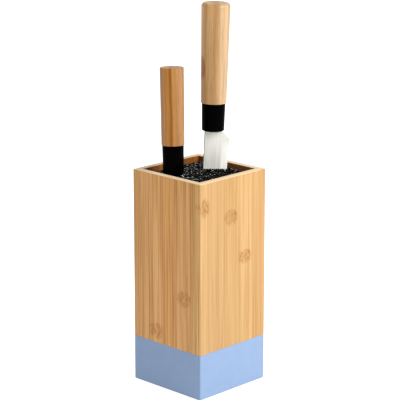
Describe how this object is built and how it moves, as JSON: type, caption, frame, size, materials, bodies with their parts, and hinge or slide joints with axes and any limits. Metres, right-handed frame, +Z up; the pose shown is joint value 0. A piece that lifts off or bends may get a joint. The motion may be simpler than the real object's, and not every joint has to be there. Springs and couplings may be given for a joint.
{
  "type": "knife block with knives",
  "caption": "Square bamboo knife block on a painted base, with a lift-out bristle insert that holds a slicing knife and a utility knife by their blades.",
  "frame": {"origin": "middle of the square footprint, on the worktop that the feet stand on", "axes": "+Z up; -Y is the front face, +X the right face, so the block's four sides face along X and Y"},
  "size_m": [0.095, 0.095, 0.3914],
  "materials": {
    "bamboo": "laminated bamboo boards, sanded and oiled to a soft satin",
    "blue_paint": "wood under a smooth matt light-blue lacquer",
    "plywood": "bare sanded plywood",
    "rubber": "matt black",
    "black_plastic": "moulded black, faint sheen",
    "bristle_plastic": "extruded black rods with cut ends",
    "pale_handle_wood": "turned pale wood, oiled satin",
    "warm_handle_wood": "turned warm brown wood, oiled satin",
    "blade_steel": "satin-ground stainless steel"
  },
  "bodies": {
    "block": {"panel_front": "bamboo", "panel_right": "bamboo", "panel_back": "bamboo", "panel_left": "bamboo", "base_rail_front": "blue_paint", "base_rail_right": "blue_paint", "base_rail_back": "blue_paint", "base_rail_left": "blue_paint", "bottom_board": "plywood", "foot_front_left": "rubber", "foot_front_right": "rubber", "foot_back_right": "rubber", "foot_back_left": "rubber"},
    "insert": {"insert_tray": "black_plastic", "bristle_bundle": "bristle_plastic"},
    "slicer": {"slicer_handle": "pale_handle_wood", "slicer_ferrule": "black_plastic", "slicer_blade": "blade_steel"},
    "utility_knife": {"utility_handle": "warm_handle_wood", "utility_ferrule": "black_plastic", "utility_blade": "blade_steel"}
  },
  "joints": [
    {"name": "insert_lift", "type": "slide", "parent": "block", "child": "insert", "axis": [0, 0, 1], "range_m": [0, 0.22]},
    {"name": "slicer_draw", "type": "slide", "parent": "insert", "child": "slicer", "axis": [0.0305, 0.0297, 0.9991], "range_m": [0, 0.21]},
    {"name": "utility_draw", "type": "slide", "parent": "insert", "child": "utility_knife", "axis": [-0.0482, 0.031, 0.9984], "range_m": [0, 0.135]}
  ]
}
